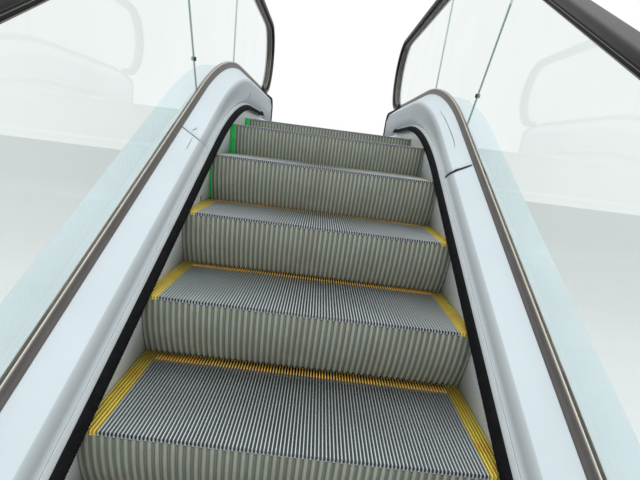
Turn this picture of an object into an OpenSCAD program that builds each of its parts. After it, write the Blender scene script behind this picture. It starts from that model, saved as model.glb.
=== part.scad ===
// Passenger escalator with glass balustrades, built from the lower floor up.
// +X is the right-hand side of a rider who looks up the stairs, +Y is the way
// up, +Z is up. The origin is on the base face, under the lower comb line.

/* [Step band] */
// Width of one step
step_w = 1000; // [600:200:1000]
// Distance from nose to nose along the band
step_pitch = 406; // [400:1:410]
// Running gap between one tread and the next riser
step_gap = 6; // [4:0.5:8]
// Step pitches on the straight incline, which set the rise
incline_steps = 13; // [10:1:20]
// Radius of the curve between the incline and a landing
curve_r = 1700; // [1500:50:2000]
// Level run of the band at the lower landing, and nearly that at the upper one
level_run = 812; // [780:2:860]
// How far the second step has come up from the lower comb line
band_phase = 131; // [100:1:280]
// Running gap between a step and the skirt at each side
skirt_gap = 3; // [2:0.5:4]

/* [Step casting] */
// Thickness of the tread, cleats included
tread_t = 28; // [24:1:36]
// Thickness of the curved riser, cleats included
riser_t = 26; // [24:1:34]
// Gaps between the cleats across a step
cleat_gaps = 55; // [37:2:59]
// Width of a gap between two cleats
cleat_gap_w = 7.5; // [6:0.5:9]
// Depth of the gaps between the cleats
cleat_h = 11; // [10:0.5:12]
// Width of the yellow markings along three edges of a tread
marking_w = 45; // [30:1:60]
// Diameter of the step rollers
roller_d = 75; // [70:1:78]
// Width of the step rollers
roller_w = 22; // [18:1:24]

/* [Landings] */
// Height of the treads at the lower landing over the base face
base_h = 360; // [350:10:600]
// Length of the casing before the lower comb line
lower_end = 1500; // [1450:50:2200]
// Length of the casing past the upper comb line
upper_end = 1700; // [1450:50:2500]
// Thickness of the floor plates
plate_t = 24; // [20:1:30]
// Clear height between the treads and the floor plates
plate_gap = 4; // [3:0.5:6]
// Length of the comb teeth in the gaps of the treads
comb_reach = 28; // [20:1:30]

/* [Balustrade] */
// Height of the deck shoulder over the noses on the incline
deck_rise = 80; // [70:1:110]
// Height of the deck shoulder over the treads at a landing
deck_land = 240; // [220:1:260]
// Thickness of the glass
glass_t = 10; // [8:1:12]
// Glass panels on the incline
glass_bays = 3; // [2:1:6]
// Distance from the edge of a step to the middle of the handrail
handrail_side = 119; // [115:1:125]
// Height of the top of the handrail over the noses on the incline
handrail_rise = 930; // [900:1:1000]
// Height of the top of the handrail over the treads at a landing
handrail_land = 895; // [880:1:940]
// Width of the handrail
handrail_w = 80; // [76:1:86]
// Thickness of the handrail
handrail_t = 28; // [26:1:32]
// Radius of the handrail around the newel, to its middle
newel_r = 285; // [270:1:290]
// Distance from the comb line to the far side of the newel
newel_reach = 870; // [840:10:1000]

/* [Casing] */
// Distance from the middle of the handrail to the outer edge of the deck
outer_side = 151; // [140:1:180]
// Depth of the casing under the noses on the incline, measured upright
casing_depth = 1050; // [1020:10:1200]
// Depth of the casing under the upper treads
upper_depth = 1000; // [980:10:1150]
// Thickness of the cladding sheets
sheet_t = 3; // [2:0.5:4]
// Width of the seams between two sheets
seam = 0.6; // [0.4:0.1:0.9]

/* [Hidden] */
$fn = 72;
eps = 0.3;
incline = 30;
arc_steps = 20;
tread_d = step_pitch - step_gap;
riser_deep = 215;
incline_len = incline_steps * step_pitch;
rise = 2 * curve_r * (1 - cos(incline)) + incline_len * sin(incline);
tread_lo = base_h;
tread_up = base_h + rise;
corner_lo = level_run + curve_r * tan(incline / 2);
corner_up = corner_lo + rise / tan(incline);
curve_len = curve_r * incline * PI / 180;

// The upper level run is made so that the last nose stands just before the
// upper comb line.
last_nose = 25;
pitches = round((2 * level_run + 2 * curve_len + incline_len - band_phase) / step_pitch);
band_len = band_phase + pitches * step_pitch + last_nose;
level_up = band_len - level_run - 2 * curve_len - incline_len;
comb_up = corner_up + curve_r * tan(incline / 2) + level_up;
step_count = 2 + pitches;
skirt_x = step_w / 2 + skirt_gap;
skirt_t = 6;
trough_x = skirt_x + skirt_t;
rail_x = step_w / 2 + handrail_side;
outer_x = rail_x + outer_side;
casing_x = outer_x - 20;
newel_y = newel_reach - newel_r - handrail_t / 2;
newel_lo = -newel_y;
newel_up = comb_up + newel_y;
inlet = 30;
deck_y = newel_y - 161;
deck_end_len = 45;
channel = 8;
wing_drop = 60;
trough_drop = riser_deep + 47;
trough_end = 450;
skirt_top = -50;
soffit_lo = corner_lo + (casing_depth - base_h) / tan(incline);
soffit_up = corner_up + (casing_depth - upper_depth) / tan(incline);
plate_top = plate_gap + plate_t;
bearing_h = 150;
bearing_d = 170;
bearing_pitch = 2 * (casing_x - 150);
cleat_pitch = (step_w + cleat_gap_w) / (cleat_gaps + 1);
cleat_w = cleat_pitch - cleat_gap_w;
comb_parts = round(cleat_gaps / 11);
comb_d = 60;
comb_plate_d = 176;
floor_y = deck_y + deck_end_len;
brush_rise = 20;
brush_land = 60;
brush_end = 270;
guide_h = 36;
strips_from = 18;

// Section of the decks: a steep face, a rounded shoulder and a sloping top.
deck_t = 3;
deck_face = 75;
deck_slope = 38;
shoulder_r = 16;
face_x = trough_x + 2;
shoulder_z = -shoulder_r * cos(deck_slope);
shoulder_x = face_x + shoulder_r * sin(deck_face) +
  (wing_drop + shoulder_z + shoulder_r * cos(deck_face)) / tan(deck_face);
gasket_w = 10;
deck_in = rail_x - glass_t / 2 - gasket_w;
deck_out = rail_x + glass_t / 2 + gasket_w;
deck_top = (deck_in - shoulder_x + shoulder_r * sin(deck_slope)) * tan(deck_slope);
deck_shift = [(deck_land - deck_rise) / tan(incline), deck_land];
deck_lead = 360;
edge_r = 18;

// Places in a step, [y, z] from its nose: the axles of its four rollers. The
// lower ones stand just behind the riser.
axle_drop = 190;
upper_axle = [335, -axle_drop];
lower_axle = [tread_d - sqrt(pow(tread_d - riser_t - roller_d / 2 - 1.5, 2) - pow(axle_drop, 2)),
              -axle_drop];
frame_x = step_w / 2 - 68;
frame_t = 16;
inner_roller_x = frame_x - 4 - roller_w;
outer_roller_x = frame_x + frame_t + 4;
axle_r = 10;

STEPS = [for (i = [1 : step_count]) str("step_", i < 10 ? "0" : "", i)];

// Lines that run along the escalator, as [y, z] points seen from its side.

// Points of a line that is level at the lower end, straight on the incline
// and level at the upper end. hi is its height over the noses on the incline,
// hl and hu its heights over the treads of the two landings, rl and ru the
// radii of its two curves.
function run_line(hi, hl, hu, rl, ru, ya, yb) =
  let (yl = corner_lo + (hl - hi) / tan(incline) - rl * tan(incline / 2),
       yu = corner_up + (hu - hi) / tan(incline) + ru * tan(incline / 2),
       zl = tread_lo + hl, zu = tread_up + hu)
  concat(
    [[ya, zl]],
    [for (k = [0 : arc_steps]) let (t = incline * k / arc_steps)
      [yl + rl * sin(t), zl + rl * (1 - cos(t))]],
    [for (k = [arc_steps : -1 : 0]) let (t = incline * k / arc_steps)
      [yu - ru * sin(t), zu - ru * (1 - cos(t))]],
    [[yb, zu]]);

// The same line moved square to itself by d, upwards when d is positive.
function side_line(hi, hl, hu, d, ya, yb) =
  run_line(hi + d / cos(incline), hl + d, hu + d, curve_r - d, curve_r + d, ya, yb);

// The line that a point of every step follows, moved square to itself by d.
function follow_line(point, d, ya, yb) =
  side_line(point[1] - point[0] * tan(incline), point[1], point[1], d, ya, yb);

// A line of the balustrade, h over the shoulder of the decks.
function deck_line(h, ya, yb) =
  run_line(deck_rise + h, deck_land + h, deck_land + h, curve_r, curve_r, ya, yb);

// The top of the casing between the decks, just under the edges of the sheets.
function wing_line(ya, yb) =
  side_line(deck_rise, deck_land, deck_land, -wing_drop - eps, ya, yb);

function backwards(p) = [for (i = [len(p) - 1 : -1 : 0]) p[i]];

// The direction square to the line from p to q, on its left.
function left_of(p, q) = let (v = q - p) [-v[1], v[0]] / norm(v);

// A closed line moved square to itself by d, outwards when d is positive.
function grown(p, d) =
  [for (i = [0 : len(p) - 1])
    let (a = left_of(p[(i + len(p) - 1) % len(p)], p[i]),
         b = left_of(p[i], p[(i + 1) % len(p)]))
    p[i] + d * (a + b) / (1 + a * b)];

// Where the nose stands that has travelled s along the band.
function nose(s) =
  let (s1 = level_run, s2 = s1 + curve_len, s3 = s2 + incline_len, s4 = s3 + curve_len,
       t1 = (s - s1) / curve_len * incline, t2 = (s4 - s) / curve_len * incline)
  s <= s1 ? [s, tread_lo] :
  s <= s2 ? [s1 + curve_r * sin(t1), tread_lo + curve_r * (1 - cos(t1))] :
  s <= s3 ? [s1 + curve_r * sin(incline) + (s - s2) * cos(incline),
             tread_lo + curve_r * (1 - cos(incline)) + (s - s2) * sin(incline)] :
  s <= s4 ? [comb_up - level_up - curve_r * sin(t2), tread_up - curve_r * (1 - cos(t2))] :
  [comb_up - level_up + s - s4, tread_up];

// A plate whose outline is given in (y, z), from x0 to x1.
module plate(x0, x1, points) {
  across(x0, x1) polygon(points);
}

// A plate between two lines, one above the other.
module band(x0, x1, low, high) {
  plate(x0, x1, concat(low, backwards(high)));
}

// Extrudes an outline drawn in (y, z) from x0 to x1.
module across(x0, x1) {
  translate([x0, 0, 0])
    rotate([90, 0, 90])
      linear_extrude(x1 - x0) children();
}

module mirrored() {
  children();
  mirror([1, 0, 0]) children();
}

// Repeats its children at both landings, with y = 0 on the comb line, y
// pointing away from the steps and z = 0 on the treads.
module at_landings() {
  translate([0, 0, tread_lo]) mirror([0, 1, 0]) children();
  translate([0, comb_up, tread_up]) children();
}

function step_nose(i) = nose(band_phase + (i - 1) * step_pitch);

module at_step(i) {
  p = step_nose(i);
  translate([0, p[0], p[1]]) children();
}

// Cuts sheets into lengths: seams square to the band at distances s along it,
// or to the same line moved by shift.
module cut_at(seams, w, shift = [0, 0]) {
  s1 = level_run;
  s2 = s1 + curve_len;
  s3 = s2 + incline_len;
  s4 = s3 + curve_len;
  difference() {
    children();
    for (s = seams) {
      p = nose(s) + shift;
      turn = s < s1 || s > s4 ? 0 :
        s < s2 ? (s - s1) / curve_len * incline :
        s > s3 ? (s4 - s) / curve_len * incline : incline;
      translate([0, p[0], p[1]])
        rotate([turn, 0, 0])
          translate([0, 0, 400]) cube([4000, w, 1800], center = true);
    }
  }
}

// Step band

// The riser is an arc about the rear edge of the tread, so the next step
// clears it by the running gap all through the curves.
module riser_arc(r0, r1, top) {
  difference() {
    intersection() {
      translate([tread_d, 0]) circle(r1, $fn = 360);
      translate([-5, -riser_deep]) square([120, riser_deep + top]);
    }
    translate([tread_d, 0]) circle(r0, $fn = 360);
  }
}

// Tread and riser without their cleats.
module step_body() {
  riser_arc(tread_d - riser_t, tread_d - cleat_h, -cleat_h);
  translate([riser_t - 6, -tread_t]) square([tread_d - riser_t + 6, tread_t - cleat_h]);
}

// One cleat, which runs up the riser and back over the tread.
module cleat(over_tread) {
  riser_arc(tread_d - cleat_h, tread_d, 0);
  if (over_tread)
    translate([cleat_h, -cleat_h]) square([tread_d - marking_w - cleat_h, cleat_h]);
}

module step_frame() {
  difference() {
    polygon([[30, -tread_t], [tread_d - 20, -tread_t], [tread_d - 30, -110],
             upper_axle + [18, -16], upper_axle + [-12, -20], [220, -150],
             lower_axle + [12, -20], lower_axle + [-20, -16], [60, -110]]);
    translate([225, -82]) circle(36);
  }
}

module step_casting() {
  w = step_w / 2;
  across(-w, w) step_body();
  for (k = [0 : cleat_gaps])
    let (x = -w + k * cleat_pitch)
      across(x, x + cleat_w) cleat(x > marking_w - w && x + cleat_w < w - marking_w);
  mirrored() {
    across(frame_x, frame_x + frame_t) step_frame();
    translate([frame_x + frame_t - 1, upper_axle[0], upper_axle[1]])
      rotate([0, 90, 0]) cylinder(r = axle_r, h = roller_w + 8);
    translate([inner_roller_x - 3, lower_axle[0], lower_axle[1]])
      rotate([0, 90, 0]) cylinder(r = axle_r, h = roller_w + 8);
  }
}

module step(i) {
  color([0.56, 0.58, 0.60]) at_step(i) step_casting();
}

// The yellow inserts along the rear edge and both sides of every tread.
module step_markings() {
  w = step_w / 2;
  color([0.82, 0.58, 0.12])
    for (i = [0 : step_count - 1])
      at_step(i)
        translate([0, 0, -cleat_h])
          linear_extrude(cleat_h) {
            translate([-w, tread_d - marking_w]) square([step_w, marking_w]);
            mirrored() translate([w - marking_w, cleat_h + 1])
              square([marking_w, tread_d - cleat_h - 1]);
          }
}

// Narrow green strips down the left ends of three risers near the top, as
// deep as each riser shows.
module green_strips() {
  color([0.05, 0.75, 0.25])
    for (i = [strips_from : strips_from + 2])
      at_step(i)
        let (deep = step_nose(i)[1] - step_nose(i - 1)[1])
          across(-step_w / 2, -step_w / 2 + (i == strips_from ? 7 : 22))
            intersection() {
              riser_arc(tread_d, tread_d + 1.2, -2);
              translate([-5, -deep]) square([200, deep]);
            }
}

module roller(x, axle) {
  translate([x, axle[0], axle[1]])
    rotate([0, 90, 0])
      difference() {
        cylinder(d = roller_d, h = roller_w);
        translate([0, 0, -1]) cylinder(r = axle_r + 0.7, h = roller_w + 2);
      }
}

module step_rollers() {
  color([0.25, 0.25, 0.26])
    for (i = [0 : step_count - 1])
      at_step(i) mirrored() {
        roller(outer_roller_x, upper_axle);
        roller(inner_roller_x, lower_axle);
      }
}

// One rail under a row of rollers, with the web that carries it.
module track(x, axle) {
  ya = 20 - trough_end;
  yb = comb_up + trough_end - 20;
  top = follow_line(axle, -roller_d / 2 - eps, ya, yb);
  under = follow_line(axle, -roller_d / 2 - eps - 6, ya, yb);
  band(x - 3, x + roller_w + 3, under, top);
  band(x + 8, x + 14, trough_line(ya, yb), under);
}

module guide_tracks() {
  color([0.6, 0.6, 0.58]) mirrored() {
    track(outer_roller_x, upper_axle);
    track(inner_roller_x, lower_axle);
  }
}

// Casing

function trough_line(ya, yb) =
  run_line(-470, -trough_drop, -trough_drop, curve_r, curve_r, ya, yb);

// Outline of the casing from the side: flat base, soffit, landings and wings.
function casing_outline() =
  concat(
    [[-lower_end, 0], [soffit_lo, 0], [soffit_up, tread_up - upper_depth],
     [comb_up + upper_end, tread_up - upper_depth], [comb_up + upper_end, tread_up + plate_gap],
     [comb_up + deck_y, tread_up + plate_gap]],
    backwards(wing_line(-deck_y, comb_up + deck_y)),
    [[-deck_y, tread_lo + plate_gap], [-lower_end, tread_lo + plate_gap]]);

module casing() {
  color([0.45, 0.46, 0.48])
    difference() {
      plate(-casing_x, casing_x, casing_outline());
      band(-trough_x, trough_x, trough_line(-trough_end, comb_up + trough_end),
        deck_line(100, -trough_end, comb_up + trough_end));
      mirrored() skirt_band(skirt_x, trough_x, 100);
      mirrored() handrail_channel();
    }
}

module side_cladding() {
  color([0.80, 0.80, 0.80]) mirrored()
    difference() {
      plate(casing_x, casing_x + sheet_t, casing_outline());
      for (y = [-600 : 1200 : comb_up + upper_end - 400])
        translate([casing_x - 1, y, -1]) cube([sheet_t + 2, seam, 6000]);
    }
}

module soffit_panels() {
  zu = tread_up - upper_depth;
  turn = atan2(zu, soffit_up - soffit_lo);
  length = norm([zu, soffit_up - soffit_lo]) - 8;
  count = ceil(length / 1300);
  flat = comb_up + upper_end - soffit_up;
  flat_count = ceil(flat / 1300);
  color([0.80, 0.80, 0.80]) {
    translate([0, soffit_lo, 0]) rotate([turn, 0, 0])
      for (k = [0 : count - 1])
        translate([-casing_x, 6 + k * length / count, -sheet_t])
          cube([2 * casing_x, length / count - seam, sheet_t]);
    for (k = [0 : flat_count - 1])
      translate([-casing_x, soffit_up + 1 + k * flat / flat_count, zu - sheet_t])
        cube([2 * casing_x, flat / flat_count - seam - 1, sheet_t]);
  }
}

// Angle that hangs the upper end on the edge of the floor.
module bearing_bracket() {
  color([0.35, 0.36, 0.38])
    translate([0, comb_up + upper_end, tread_up - bearing_h])
      difference() {
        union() {
          translate([-casing_x, 0, 0]) cube([2 * casing_x, 16, bearing_h]);
          translate([-casing_x, 0, 0]) cube([2 * casing_x, bearing_d, 22]);
          for (k = [-2 : 2])
            let (x = k * bearing_pitch / 4)
              across(x - 6, x + 6)
                polygon([[16, 22], [bearing_d - 60, 22], [16, bearing_h - 30]]);
        }
        for (x = [-1, 1])
          translate([x * bearing_pitch / 2, bearing_d - 32, -1])
            cylinder(d = 22, h = 24);
      }
}

module floor_plates() {
  start = comb_d + comb_plate_d;
  color([0.68, 0.69, 0.71]) {
    at_landings()
      translate([-skirt_x, start, plate_gap])
        cube([2 * skirt_x, floor_y - start, plate_t]);
    wide_plates(tread_lo, -lower_end, -floor_y);
    wide_plates(tread_up, comb_up + floor_y, comb_up + upper_end);
  }
}

// Two plates as wide as the casing, from ya to yb.
module wide_plates(z, ya, yb) {
  for (k = [0, 1])
    translate([-casing_x, ya + k * (yb - ya) / 2 + seam, z + plate_gap])
      cube([2 * casing_x, (yb - ya) / 2 - 2 * seam, plate_t]);
}

module comb_plates() {
  color([0.74, 0.75, 0.77]) at_landings()
    translate([-skirt_x, comb_d + seam, plate_gap])
      cube([2 * skirt_x, comb_plate_d - 2 * seam, plate_t]);
}

// Edges of the comb segments, each over the middle of a cleat.
function comb_edge(k) =
  k == 0 ? -skirt_x : k == comb_parts ? skirt_x :
  -step_w / 2 + round(k * cleat_gaps / comb_parts) * cleat_pitch + cleat_w / 2;

// Comb segments whose teeth reach down into the gaps between the cleats.
module combs() {
  color([0.78, 0.79, 0.80]) at_landings() {
    for (k = [0 : comb_parts - 1])
      across(comb_edge(k), comb_edge(k + 1) - seam)
        polygon([[-2, plate_gap], [-2, 9], [comb_d, plate_top], [comb_d, plate_gap]]);
    for (k = [0 : cleat_gaps - 1])
      let (x = -step_w / 2 + (k + 1) * cleat_pitch - cleat_gap_w / 2)
        if (abs(x) < step_w / 2 - marking_w)
          across(x - 1.8, x + 1.8)
            polygon([[-comb_reach, -6], [-comb_reach, -3], [-3, 9], [6, 9],
                     [6, plate_gap], [0, -6]]);
  }
}

// Balustrade

// The upright panels beside the steps, up to top over the deck shoulder.
module skirt_band(x0, x1, top) {
  ya = 20 - floor_y;
  yb = comb_up + floor_y - 20;
  band(x0, x1, side_line(0, 0, 0, -riser_deep - 25, ya, yb), deck_line(top, ya, yb));
}

module skirt() {
  s2 = level_run + curve_len;
  color([0.82, 0.86, 0.90])
    cut_at([level_run / 2, s2 + 600, s2 + incline_len / 2 + 300, s2 + incline_len + 300], seam)
      skirt_band(skirt_x, trough_x, skirt_top);
}

module skirt_left() { mirror([1, 0, 0]) skirt(); }
module skirt_right() { skirt(); }

// Sweeps a profile, drawn as (x, height), along a line of the balustrade, in
// lengths that meet at fine joints. The last straight length measures lead.
module sweep(hi, hl, hu, ya, yb, bays, lead) {
  r = curve_r;
  yl = corner_lo + (hl - hi) / tan(incline) - r * tan(incline / 2);
  yu = corner_up + (hu - hi) / tan(incline) + r * tan(incline / 2);
  zl = tread_lo + hl;
  zu = tread_up + hu;
  turn = seam / 2 / r * 180 / PI;
  p0 = [yl + r * sin(incline), zl + r * (1 - cos(incline))];
  p1 = [yu - r * sin(incline), zu - r * (1 - cos(incline))];
  run = norm(p1 - p0);
  joints = concat([for (k = [0 : bays]) k * (run - lead) / bays], [run]);
  translate([0, yl - seam / 2, zl])
    rotate([90, 0, 0]) linear_extrude(yl - ya - seam / 2) children();
  translate([0, yl, zl + r])
    rotate([0, 90, 0]) rotate([0, 0, turn])
      rotate_extrude(angle = incline - 2 * turn, $fn = 480)
        translate([r, 0]) rotate(90) children();
  for (k = [1 : bays + 1])
    translate([0, p0[0], p0[1]])
      rotate([incline, 0, 0])
        translate([0, joints[k] - seam / 2, 0])
          rotate([90, 0, 0]) linear_extrude(joints[k] - joints[k - 1] - seam) children();
  translate([0, yu, zu - r])
    rotate([0, 90, 0]) rotate([0, 0, 180 + turn])
      rotate_extrude(angle = incline - 2 * turn, $fn = 480)
        translate([r, 0]) mirror([1, -1]) children();
  translate([0, yb, zu])
    rotate([90, 0, 0]) linear_extrude(yb - yu - seam / 2) children();
}

// Holder and bristles of the skirt brush, from the skirt inwards.
module brush_profile() {
  polygon([[skirt_x, 0], [skirt_x, 26], [skirt_x - 9, 26], [skirt_x - 13, 20],
           [skirt_x - 33, -4], [skirt_x - 33, -10], [skirt_x - 11, 2]]);
}

module skirt_brushes() {
  ya = brush_end;
  yb = comb_up - brush_end;
  color([0.05, 0.05, 0.05]) mirrored() {
    sweep(brush_rise, brush_land, brush_land, ya, yb, 2, incline_len / 3) brush_profile();
    for (up = [0, 1])
      translate([0, up ? yb + seam : ya - seam, (up ? tread_up : tread_lo) + brush_land])
        mirror([0, 1 - up, 0])
          across(skirt_x - 22, skirt_x) polygon([[0, 0], [0, 26], [80, 8], [110, 0]]);
  }
}

// Rounded shoulder of the inner deck, r from its middle.
function shoulder(r) =
  [for (k = [0 : 5]) let (a = 90 + deck_face - k * (deck_face - deck_slope) / 5)
    [shoulder_x + r * cos(a), shoulder_z + r * sin(a)]];

// Rounded edge of the outer deck.
function deck_edge(r) =
  [for (a = [90 : -15 : 0])
    [outer_x - edge_r + r * cos(a), deck_top - edge_r + r * sin(a)]];

module inner_deck_profile() {
  polygon(concat(
    [[face_x, -wing_drop]], shoulder(shoulder_r),
    [[deck_in, deck_top], [deck_in, deck_top - deck_t / cos(deck_slope)]],
    backwards(shoulder(shoulder_r - deck_t)),
    [[face_x + deck_t / sin(deck_face), -wing_drop]]));
}

module outer_deck_profile() {
  polygon(concat(
    [[deck_out, deck_top]], deck_edge(edge_r),
    [[outer_x, -wing_drop], [outer_x - deck_t, -wing_drop]],
    backwards(deck_edge(edge_r - deck_t)), [[deck_out, deck_top - deck_t]]));
}

module deck_sweep() {
  sweep(deck_rise, deck_land, deck_land, -deck_y, comb_up + deck_y, 3, deck_lead)
    children();
}

module inner_deck() { color([0.86, 0.88, 0.90]) deck_sweep() inner_deck_profile(); }
module outer_deck() { color([0.86, 0.88, 0.90]) deck_sweep() outer_deck_profile(); }
module inner_deck_left() { mirror([1, 0, 0]) inner_deck(); }
module inner_deck_right() { inner_deck(); }
module outer_deck_left() { mirror([1, 0, 0]) outer_deck(); }
module outer_deck_right() { outer_deck(); }

// Closed caps that end the decks and take the handrails in at their faces.
module deck_ends() {
  x0 = trough_x + eps;
  low = plate_gap - deck_land;
  color([0.80, 0.81, 0.83]) mirrored()
    difference() {
      at_landings()
        translate([0, floor_y, deck_land])
          rotate([90, 0, 0]) linear_extrude(deck_end_len - seam)
            polygon(concat(
              [[x0, low], [x0, -wing_drop], [face_x, -wing_drop]],
              shoulder(shoulder_r), [[deck_in, deck_top]], deck_edge(edge_r),
              [[outer_x, low]]));
      handrail_channel();
    }
}

// Rubber profiles that hold the foot of the glass on both sides.
module gasket_profile() {
  z = deck_top;
  for (turn = [0, 1])
    translate([rail_x, 0]) mirror([turn, 0])
      translate([glass_t / 2, 0])
        polygon([[0, z - 12], [gasket_w, z - 12], [gasket_w, z + 3], [4, z + 12],
                 [2, z + 34], [0, z + 34]]);
}

module glass_gaskets() {
  color([0.20, 0.20, 0.21]) mirrored() deck_sweep() gasket_profile();
}

// The line around the newels and along the top, d inside the middle of the
// handrail, from the lower inlet to the upper one.
function rim(d) =
  let (h = handrail_rise - handrail_t / 2, l = handrail_land - handrail_t / 2,
       zl = tread_lo + l - newel_r, zu = tread_up + l - newel_r, r = newel_r - d, n = 24)
  concat(
    [[newel_lo + inlet, zl - r]],
    [for (k = [0 : n - 1]) let (t = 270 - 180 * k / n) [newel_lo + r * cos(t), zl + r * sin(t)]],
    run_line(h - d / cos(incline), l - d, l - d, curve_r + d, curve_r - d, newel_lo, newel_up),
    [for (k = [1 : n]) let (t = 90 - 180 * k / n) [newel_up + r * cos(t), zu + r * sin(t)]],
    [[newel_up - inlet, zu - r]]);

// Glass panels with seams square to the band, from the guide of the handrail
// down between the decks.
module glass() {
  s1 = level_run;
  s2 = s1 + curve_len;
  s3 = s2 + incline_len;
  s4 = s3 + curve_len;
  bay = (incline_len - 120) / glass_bays;
  foot = deck_y - 30;
  over_deck = deck_land + deck_top + 10;
  color([0.75, 0.85, 0.85, 0.4])
    cut_at(concat([s1 + 200], [for (k = [0 : glass_bays]) s2 + 60 + k * bay], [s4 - 200]),
      3, deck_shift)
      plate(rail_x - glass_t / 2, rail_x + glass_t / 2,
        concat(rim(guide_h), [[comb_up + foot, tread_up + over_deck]],
          backwards(wing_line(-foot, comb_up + foot)), [[-foot, tread_lo + over_deck]]));
}

module glass_left() { mirror([1, 0, 0]) glass(); }
module glass_right() { glass(); }

// Middle line of the handrail: the top run, the two newels and the return
// run inside the balustrade, as one closed loop.
function handrail_line() =
  let (drop = handrail_land - handrail_t / 2 - 2 * newel_r + 100)
  concat(
    rim(0),
    backwards(run_line(-140, -100, -100, curve_r, curve_r,
      newel_lo + inlet + drop, newel_up - inlet - drop)));

module loop(x, d0, d1) {
  p = handrail_line();
  across(rail_x - x, rail_x + x) difference() {
    polygon(grown(p, d1));
    polygon(grown(p, d0));
  }
}

// The way kept free for the handrail inside the casing and the deck ends.
module handrail_channel() {
  loop(handrail_w / 2 + channel, -handrail_t / 2 - channel, handrail_t / 2 + channel);
}

// A flat belt with its edges turned in under the guide.
module handrail() {
  color([0.05, 0.05, 0.05])
    difference() {
      loop(handrail_w / 2, -handrail_t / 2, handrail_t / 2);
      loop(handrail_w / 2 - 9, -handrail_t / 2 + 5, 5);
      loop(handrail_w / 2 - 20, -handrail_t / 2 - 1, 0);
    }
}

module handrail_left() { mirror([1, 0, 0]) handrail(); }
module handrail_right() { handrail(); }

// Steel guide: a flange inside the handrail and a web down to the glass.
module handrail_guides() {
  flange = handrail_w / 2 - 12;
  color([0.75, 0.76, 0.78]) mirrored() {
    plate(rail_x - flange, rail_x + flange,
      concat(rim(-5 + eps), backwards(rim(7))));
    plate(rail_x - 16, rail_x + 16, concat(rim(7), backwards(rim(guide_h))));
  }
}

casing();
side_cladding();
soffit_panels();
bearing_bracket();
guide_tracks();
step_rollers();
floor_plates();
comb_plates();
combs();
skirt_left();
skirt_right();
skirt_brushes();
inner_deck_left();
inner_deck_right();
outer_deck_left();
outer_deck_right();
deck_ends();
glass_left();
glass_right();
glass_gaskets();
handrail_left();
handrail_right();
handrail_guides();
step_markings();
green_strips();
for (i = [0 : step_count - 1])
  step(i);
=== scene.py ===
"""Looks of the escalator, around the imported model.

Metres, in the frame of the solids: +X right, +Y the way up, +Z up. Most pieces are profiles
swept along lines of (y, z, slope) that follow the steps from landing to landing.
"""

import math
import random

import bmesh
import bpy
from mathutils import Matrix, Vector

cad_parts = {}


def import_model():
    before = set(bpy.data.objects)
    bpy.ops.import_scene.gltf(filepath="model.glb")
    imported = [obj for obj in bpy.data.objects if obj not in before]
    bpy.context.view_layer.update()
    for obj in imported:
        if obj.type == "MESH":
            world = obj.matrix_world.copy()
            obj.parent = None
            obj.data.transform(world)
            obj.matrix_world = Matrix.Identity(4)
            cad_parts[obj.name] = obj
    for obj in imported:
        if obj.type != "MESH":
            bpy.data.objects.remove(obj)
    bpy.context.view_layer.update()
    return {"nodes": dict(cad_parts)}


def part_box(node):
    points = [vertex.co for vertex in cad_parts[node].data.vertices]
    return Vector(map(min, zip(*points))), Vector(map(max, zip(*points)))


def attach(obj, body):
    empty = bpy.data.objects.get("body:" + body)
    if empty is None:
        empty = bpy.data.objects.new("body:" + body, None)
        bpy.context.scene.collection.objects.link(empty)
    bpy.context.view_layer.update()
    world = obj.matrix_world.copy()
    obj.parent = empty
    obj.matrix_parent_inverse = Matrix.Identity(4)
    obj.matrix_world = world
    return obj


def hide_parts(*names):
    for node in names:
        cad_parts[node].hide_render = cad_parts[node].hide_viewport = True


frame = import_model()
rng = random.Random(7)

# Sizes shared with the solids
INCLINE = math.radians(30)
LO = 0.36  # height of the lower treads
LEVEL, CURVE, PITCH = 0.812, 1.7, 0.406  # lower level run, radius of the curves, pitch of the steps
INCLINE_STEPS, BAND_PITCHES, FIRST_NOSE, LAST_NOSE = 13, 21, 0.131, 0.025
RUN = INCLINE_STEPS * PITCH
RISE = 2 * CURVE * (1 - math.cos(INCLINE)) + RUN * math.sin(INCLINE)
UP = LO + RISE  # height of the upper treads
CORNER_LO = LEVEL + CURVE * math.tan(INCLINE / 2)
CORNER_UP = CORNER_LO + RISE / math.tan(INCLINE)
LEVEL_UP = FIRST_NOSE + BAND_PITCHES * PITCH + LAST_NOSE - LEVEL - 2 * CURVE * INCLINE - RUN
COMB_UP = CORNER_UP + CURVE * math.tan(INCLINE / 2) + LEVEL_UP  # the lower comb line is y = 0
STEP_W, TREAD_D, GAP_H = 1.0, 0.4, 0.011  # width and depth of a step, depth of its grooves
RISER_T, ROLLER_R, ROLLER_GAP, AXLE_DROP = 0.026, 0.0375, 0.0015, 0.19
LOWER_AXLE = TREAD_D - math.sqrt((TREAD_D - RISER_T - ROLLER_R - ROLLER_GAP) ** 2 - AXLE_DROP**2)
SKIRT_X, TROUGH_X, RAIL_X, OUTER_X = 0.503, 0.509, 0.619, 0.77
DECK_Y, FLOOR_Y = 0.41, 0.455  # ends of the decks and of their caps, past the comb lines
DECK_RISE, DECK_LAND, WING = 0.08, 0.24, 0.06
RAIL_RISE, RAIL_LAND, RAIL_T, NEWEL_R = 0.93, 0.895, 0.028, 0.285
NEWEL_Y, INLET = 0.571, 0.03
NEWEL_LO, NEWEL_UP = -NEWEL_Y, COMB_UP + NEWEL_Y


# Lines along the escalator: lists of (y, z, slope)


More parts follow.
